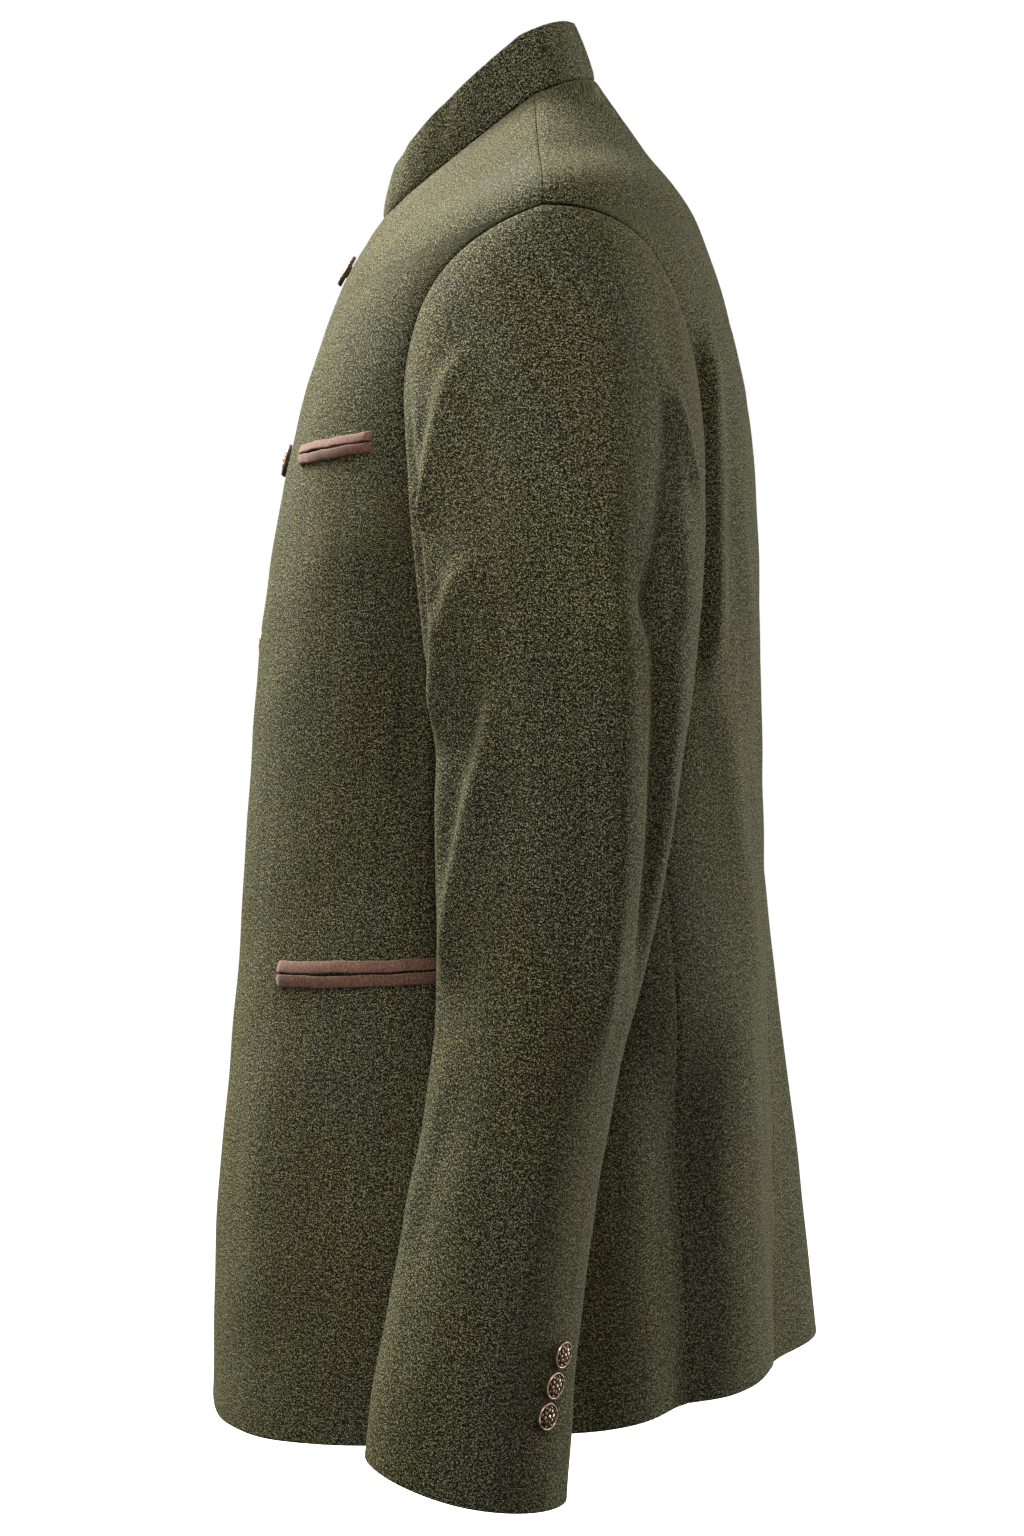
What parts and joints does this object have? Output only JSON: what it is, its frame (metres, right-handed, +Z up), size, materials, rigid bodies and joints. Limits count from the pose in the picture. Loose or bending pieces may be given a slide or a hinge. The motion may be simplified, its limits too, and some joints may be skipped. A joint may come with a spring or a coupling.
{
  "type": "stand-collar jacket",
  "caption": "Wool jacket with a stand collar, front buttons, welt pockets and a back vent, hollow and open at neck, cuffs and hem, in the shape it has when worn.",
  "frame": {"origin": "middle of the neck opening, level with the inner ends of the shoulder seams, where the wearer's neck and shoulders hold the jacket", "axes": "+Z up, the front faces -Y, and the wearer's left side is at +X"},
  "size_m": [0.5732, 0.351, 0.783],
  "materials": {
    "wool": "olive green mottled wool cloth, milled, slightly fuzzy",
    "suede": "dusty rose-brown suede, matt",
    "metal": "antique copper, cast and darkened in the hollows"
  },
  "bodies": {
    "root": {"front_left": "wool", "front_right": "wool", "side_left": "wool", "side_right": "wool", "back_left": "wool", "back_right": "wool", "collar": "wool", "sleeve_top_left": "wool", "sleeve_under_left": "wool", "sleeve_top_right": "wool", "sleeve_under_right": "wool", "welt_breast_upper_left": "suede", "welt_breast_lower_left": "suede", "welt_hip_upper_left": "suede", "welt_hip_lower_left": "suede", "welt_hip_upper_right": "suede", "welt_hip_lower_right": "suede", "button_front_1": "metal", "button_front_2": "metal", "button_front_3": "metal", "button_front_4": "metal", "button_front_5": "metal", "button_cuff_left_1": "metal", "button_cuff_left_2": "metal", "button_cuff_left_3": "metal", "button_cuff_right_1": "metal", "button_cuff_right_2": "metal", "button_cuff_right_3": "metal"}
  },
  "joints": []
}
